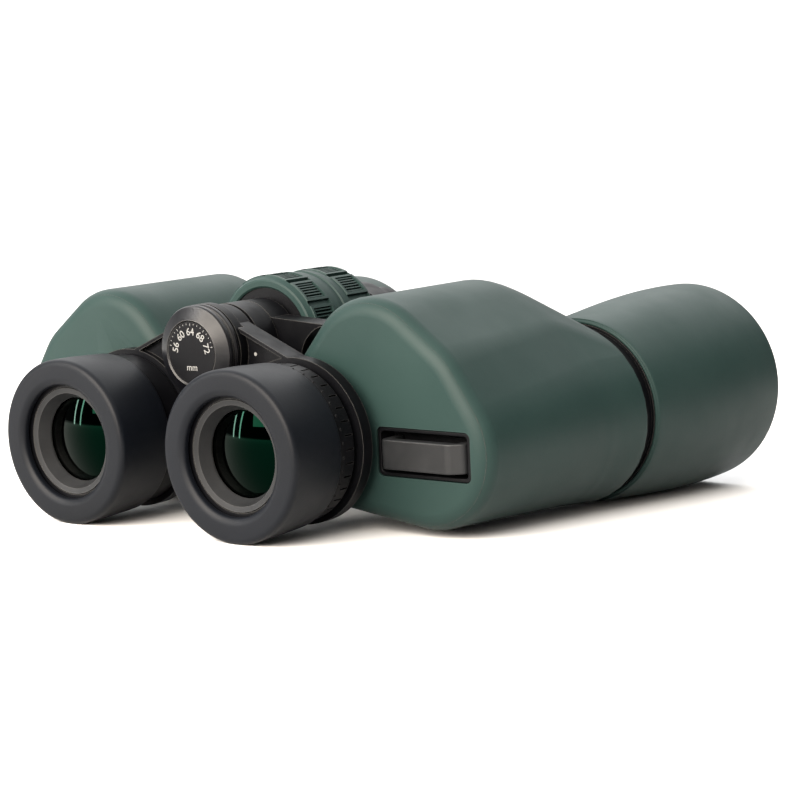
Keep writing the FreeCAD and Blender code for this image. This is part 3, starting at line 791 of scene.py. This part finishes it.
# ---- index dot on the right arm -------------------------------------------------------------
DOT_AT, DOT_R = (15.7, 55.4), 0.5
turns = [math.pi * k / 8 for k in range(16)]
dot_outline = [(DOT_AT[0] + DOT_R * math.cos(a), DOT_AT[1] + DOT_R * math.sin(a)) for a in turns]
dot = stacked([[point(x, s, z) for x, z in dot_outline] for s in (ARM_FLOOR - 0.08, ARM_FLOOR + 0.02)])
place(piece_from(dot, "index_dot", PAINT, 30), "bridge", "black_metal")


# ---- floor and light ------------------------------------------------------------------------
def backdrop():
    """A flat pale sheet, tilted to touch the barrels' front rims and the eyecups."""
    slope, level_at, gap, reach = 0.062, 0.0732, 0.0001, 6.0
    bm = bmesh.new()
    lines = []
    for x in (-reach, reach):
        lines.append([bm.verts.new((x, y, -slope * (y - level_at) - gap)) for y in (-reach, reach)])
    bm.faces.new((lines[0][0], lines[1][0], lines[1][1], lines[0][1]))
    n = Nodes("pale_floor")
    n.set(Base_Color=n.ramp(n.noise(6.0), [(0.3, (0.6, 0.6, 0.6)), (0.7, (0.63, 0.63, 0.63))]), Roughness=0.9)
    floor = piece_from(bm, "floor", n.material)


backdrop()


def soft_light(name, place_at, size, power, colour=(1, 1, 1)):
    """A rectangular lamp aimed at the object."""
    lamp = bpy.data.lights.new(name, "AREA")
    lamp.shape = "RECTANGLE"
    lamp.size, lamp.size_y = size
    lamp.energy = power
    lamp.color = colour
    obj = bpy.data.objects.new(name, lamp)
    obj.location = place_at
    aim = Vector((0, 0, 0.03)) - Vector(place_at)
    obj.rotation_euler = aim.to_track_quat("-Z", "Y").to_euler()
    bpy.context.collection.objects.link(obj)


def sky_light(strength, spread):
    """A sun so wide that it lights like an overcast sky."""
    lamp = bpy.data.lights.new("sky", "SUN")
    lamp.energy = strength
    lamp.angle = math.radians(spread)
    obj = bpy.data.objects.new("sky", lamp)
    obj.rotation_euler = (math.radians(-12), math.radians(-8), 0)
    bpy.context.collection.objects.link(obj)


sky_light(4.8, 110)
soft_light("rear_key", (0.02, -1.35, 0.85), (1.8, 1.1), 150, (1.0, 0.91, 0.81))
for spot in (-0.62, -0.8):
    soft_light("strip", (spot, -0.75, 0.42), (0.024, 0.8), 4.5)


def studio_world():
    """Dim all round, and white towards the far side, beyond the object."""
    world = bpy.data.worlds.new("studio")
    world.use_nodes = True
    tree = world.node_tree
    background = tree.nodes["Background"]
    background.inputs["Color"].default_value = (1, 1, 1, 1)
    where = tree.nodes.new("ShaderNodeTexCoord")
    dot = tree.nodes.new("ShaderNodeVectorMath")
    dot.operation = "DOT_PRODUCT"
    dot.inputs[1].default_value = (-0.756, 0.589, 0.286)    # forward, to the left and a little up
    fade = tree.nodes.new("ShaderNodeMapRange")
    for key, value in (("From Min", 0.5), ("From Max", 0.84), ("To Min", 0.15), ("To Max", 1.2)):
        fade.inputs[key].default_value = value
    tree.links.new(where.outputs["Generated"], dot.inputs[0])
    tree.links.new(dot.outputs["Value"], fade.inputs["Value"])
    tree.links.new(fade.outputs["Result"], background.inputs["Strength"])
    bpy.context.scene.world = world


studio_world()
bpy.context.scene.view_settings.view_transform = "Standard"
